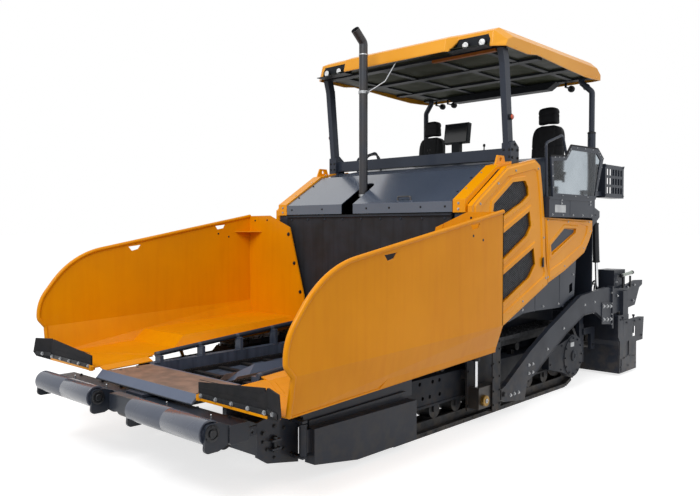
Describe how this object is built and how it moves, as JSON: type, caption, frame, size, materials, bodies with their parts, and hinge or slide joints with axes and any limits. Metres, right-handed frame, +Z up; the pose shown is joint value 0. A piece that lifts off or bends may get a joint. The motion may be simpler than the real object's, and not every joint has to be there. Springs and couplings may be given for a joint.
{
  "type": "asphalt paver",
  "caption": "Tracked asphalt paver with folding hopper wings, yellow hood and side doors, canopy over the operator seats, tow arms and a screed.",
  "frame": {"origin": "on the ground in the middle of the machine's length and width", "axes": "+Z up, -Y to the front with the hopper, +X to the machine's left"},
  "size_m": [3.882, 8.042, 4.4992],
  "materials": {
    "yellow_paint": "satin",
    "slate_paint": "satin",
    "hood_paint": "satin",
    "worn_plate": "matte",
    "track_steel": "matte",
    "frame_steel": "matte",
    "bright_rod": "polished",
    "exhaust_steel": "satin",
    "flap_rubber": "matte",
    "seat_cover": "matte",
    "screen_glass": "clear",
    "lamp_body": "gloss"
  },
  "bodies": {
    "machine": {"track_left": "track_steel", "track_right": "track_steel", "track_frames": "frame_steel", "track_wheels": "track_steel", "drive_covers": "slate_paint", "main_frame": "slate_paint", "conveyor_deck": "frame_steel", "conveyor_chains": "track_steel", "hopper_apron": "worn_plate", "hopper_back": "frame_steel", "platform_boxes": "slate_paint", "hood_shoulders": "yellow_paint", "side_skirts": "slate_paint", "rear_panels": "yellow_paint", "engine_block": "frame_steel", "exhaust_pipe": "exhaust_steel", "body_shell": "slate_paint", "front_portal": "slate_paint", "rear_posts": "slate_paint", "canopy_roof": "yellow_paint", "canopy_liner": "frame_steel", "lamps": "lamp_body", "seat_bases": "frame_steel", "seat_cushions": "seat_cover", "consoles": "frame_steel", "side_shields": "slate_paint", "shield_windows": "screen_glass", "rear_steps": "slate_paint", "tow_guides": "slate_paint"},
    "push_beam": {"push_beam": "slate_paint"},
    "push_roller_left": {"push_roller_left": "slate_paint"},
    "push_roller_right": {"push_roller_right": "slate_paint"},
    "wing_left": {"wing_left": "yellow_paint", "wing_lugs_left": "yellow_paint", "wing_flap_left": "flap_rubber"},
    "wing_right": {"wing_right": "yellow_paint", "wing_lugs_right": "yellow_paint", "wing_flap_right": "flap_rubber"},
    "wing_barrel_left": {"wing_barrel_left": "slate_paint"},
    "wing_barrel_right": {"wing_barrel_right": "slate_paint"},
    "wing_rod_left": {"wing_rod_left": "bright_rod"},
    "wing_rod_right": {"wing_rod_right": "bright_rod"},
    "hood_lid": {"hood_lid": "hood_paint"},
    "door_left": {"door_left": "yellow_paint", "door_grille_left": "frame_steel"},
    "door_right": {"door_right": "yellow_paint", "door_grille_right": "frame_steel"},
    "tow_points": {"tow_points": "frame_steel"},
    "screed": {"tow_arms": "slate_paint", "screed_frame": "slate_paint", "screed_ends": "slate_paint", "screed_boxes": "slate_paint"},
    "lift_barrels": {"lift_barrels": "slate_paint"},
    "lift_rods": {"lift_rods": "bright_rod"},
    "auger_left": {"auger_left": "track_steel"},
    "auger_right": {"auger_right": "track_steel"},
    "track_guard_left": {"track_guard_left": "slate_paint"},
    "track_guard_right": {"track_guard_right": "slate_paint"}
  },
  "joints": [
    {"name": "push_beam_swing", "type": "hinge", "parent": "machine", "child": "push_beam", "pos_m": [0, -3.647, 0.577], "axis": [0, 0, 1], "range_deg": [-3, 3]},
    {"name": "push_roller_left_spin", "type": "hinge", "parent": "push_beam", "child": "push_roller_left", "pos_m": [0.824, -3.909, 0.622], "axis": [1, 0, 0], "continuous": true},
    {"name": "push_roller_right_spin", "type": "hinge", "parent": "push_beam", "child": "push_roller_right", "pos_m": [-0.824, -3.909, 0.622], "axis": [1, 0, 0], "continuous": true},
    {"name": "wing_left_fold", "type": "hinge", "parent": "machine", "child": "wing_left", "pos_m": [0.8, -3.629, 0.775], "axis": [0, -0.9973, -0.0735], "range_deg": [0, 48]},
    {"name": "wing_barrel_left_tilt", "type": "hinge", "parent": "machine", "child": "wing_barrel_left", "pos_m": [0.96, -2.41764, 0.3], "axis": [0, -0.9973, -0.0735], "range_deg": [0, 15.06]},
    {"name": "wing_rod_left_slide", "type": "slide", "parent": "wing_barrel_left", "child": "wing_rod_left", "axis": [0.4377, -0.0754, 0.8959], "range_m": [0, 0.2835]},
    {"name": "wing_right_fold", "type": "hinge", "parent": "machine", "child": "wing_right", "pos_m": [-0.8, -3.629, 0.775], "axis": [0, 0.9973, 0.0735], "range_deg": [0, 48]},
    {"name": "wing_barrel_right_tilt", "type": "hinge", "parent": "machine", "child": "wing_barrel_right", "pos_m": [-0.96, -2.41764, 0.3], "axis": [0, 0.9973, 0.0735], "range_deg": [0, 15.06]},
    {"name": "wing_rod_right_slide", "type": "slide", "parent": "wing_barrel_right", "child": "wing_rod_right", "axis": [-0.4377, -0.0754, 0.8959], "range_m": [0, 0.2835]},
    {"name": "hood_lid_open", "type": "hinge", "parent": "machine", "child": "hood_lid", "pos_m": [0, 0.121, 2.65], "axis": [-1, 0, 0], "range_deg": [0, 30]},
    {"name": "door_left_swing", "type": "hinge", "parent": "machine", "child": "door_left", "pos_m": [1.462, -0.737, 1.685], "axis": [0, 0, -1], "range_deg": [0, 90]},
    {"name": "door_right_swing", "type": "hinge", "parent": "machine", "child": "door_right", "pos_m": [-1.462, -0.737, 1.685], "axis": [0, 0, 1], "range_deg": [0, 90]},
    {"name": "tow_point_slide", "type": "slide", "parent": "machine", "child": "tow_points", "axis": [0, 0, 1], "range_m": [0, 0.2]},
    {"name": "screed_lift", "type": "hinge", "parent": "tow_points", "child": "screed", "pos_m": [0, -0.039, 0.262], "axis": [1, 0, 0], "range_deg": [0, 7]},
    {"name": "lift_barrel_tilt", "type": "hinge", "parent": "machine", "child": "lift_barrels", "pos_m": [0, 2.561, 2.29], "axis": [1, 0, 0], "range_deg": [-8.05, 0]},
    {"name": "lift_rod_slide", "type": "slide", "parent": "lift_barrels", "child": "lift_rods", "axis": [0, 0.0815, -0.9967], "range_m": [-0.3264, 0]},
    {"name": "auger_left_spin", "type": "hinge", "parent": "machine", "child": "auger_left", "pos_m": [0.65, 2.781, 0.45], "axis": [1, 0, 0], "continuous": true},
    {"name": "auger_right_spin", "type": "hinge", "parent": "machine", "child": "auger_right", "pos_m": [-0.65, 2.781, 0.45], "axis": [1, 0, 0], "continuous": true},
    {"name": "track_guard_left_swing", "type": "hinge", "parent": "machine", "child": "track_guard_left", "pos_m": [1.33, -2.979, 0.37], "axis": [0, 0, -1], "range_deg": [0, 90]},
    {"name": "track_guard_right_swing", "type": "hinge", "parent": "machine", "child": "track_guard_right", "pos_m": [-1.33, -2.979, 0.37], "axis": [0, 0, 1], "range_deg": [0, 90]}
  ],
  "couplings": [
    {"joint": "wing_barrel_left_tilt", "follows": "wing_left_fold", "ratio": 0.30963},
    {"joint": "wing_rod_left_slide", "follows": "wing_left_fold", "m_per_rad": 0.33486},
    {"joint": "wing_barrel_right_tilt", "follows": "wing_right_fold", "ratio": 0.30963},
    {"joint": "wing_rod_right_slide", "follows": "wing_right_fold", "m_per_rad": 0.33486},
    {"joint": "lift_barrel_tilt", "follows": "screed_lift", "ratio": -1.121},
    {"joint": "lift_rod_slide", "follows": "screed_lift", "m_per_rad": -2.647}
  ]
}
